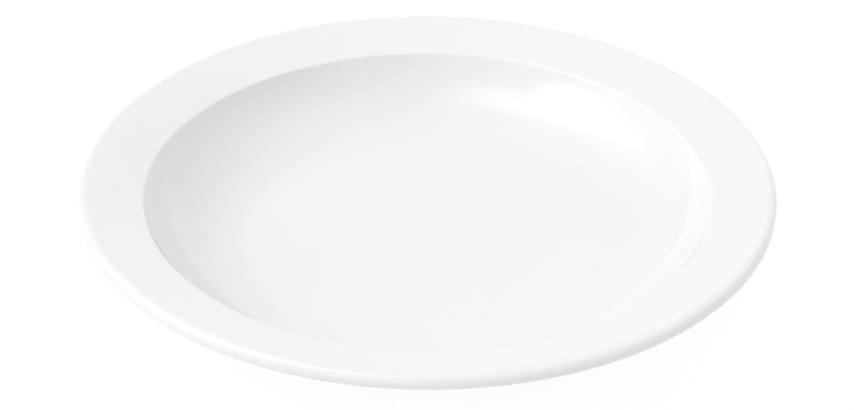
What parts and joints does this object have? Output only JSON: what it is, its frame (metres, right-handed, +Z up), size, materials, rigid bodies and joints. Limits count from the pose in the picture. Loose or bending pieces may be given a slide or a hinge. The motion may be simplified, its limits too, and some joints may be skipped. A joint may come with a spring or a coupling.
{
  "type": "rimmed soup plate",
  "caption": "Round white glazed porcelain soup plate with a wide sloping rim, a crisp lip, a deep concave well and a dry foot ring.",
  "frame": {"origin": "centre of the foot ring's standing face, on the plate's axis, at table level", "axes": "+Z up along the plate's axis out of the well; +X and +Y lie in the table plane, and the plate is round about Z"},
  "size_m": [0.23, 0.23, 0.032],
  "materials": {
    "bisque_porcelain": "matt, dry, fine-grained fired porcelain, ground smooth on the foot's standing face",
    "white_glaze": "glossy clear-white fired glaze, smooth with a very faint ripple"
  },
  "bodies": {
    "root": {"porcelain_body": "bisque_porcelain", "glaze_coat": "white_glaze", "foot_well_glaze": "white_glaze"}
  },
  "joints": []
}
